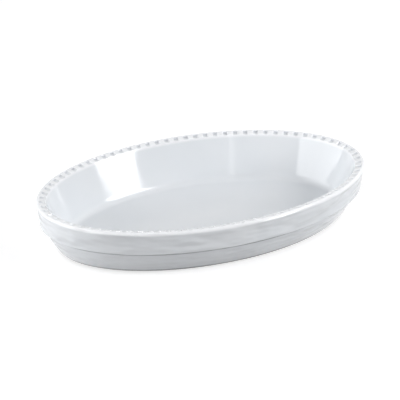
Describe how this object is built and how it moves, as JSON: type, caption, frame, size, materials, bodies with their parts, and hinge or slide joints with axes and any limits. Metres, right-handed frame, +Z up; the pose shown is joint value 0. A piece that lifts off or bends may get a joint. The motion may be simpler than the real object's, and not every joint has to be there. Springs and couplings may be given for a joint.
{
  "type": "oval baking dish",
  "caption": "Shallow oval baking dish in white glazed porcelain with a notched rolled rim, a creased collar outside and a bare foot ring.",
  "frame": {"origin": "middle of the plane that the foot ring stands on", "axes": "+X along the length, +Y across the width, +Z up"},
  "size_m": [0.32, 0.1974, 0.049],
  "materials": {
    "biscuit": "bare fired porcelain, matte",
    "glaze": "clear gloss glaze over white porcelain"
  },
  "bodies": {
    "root": {"porcelain_body": "biscuit", "glaze_coat": "glaze", "underside_glaze": "glaze"}
  },
  "joints": []
}
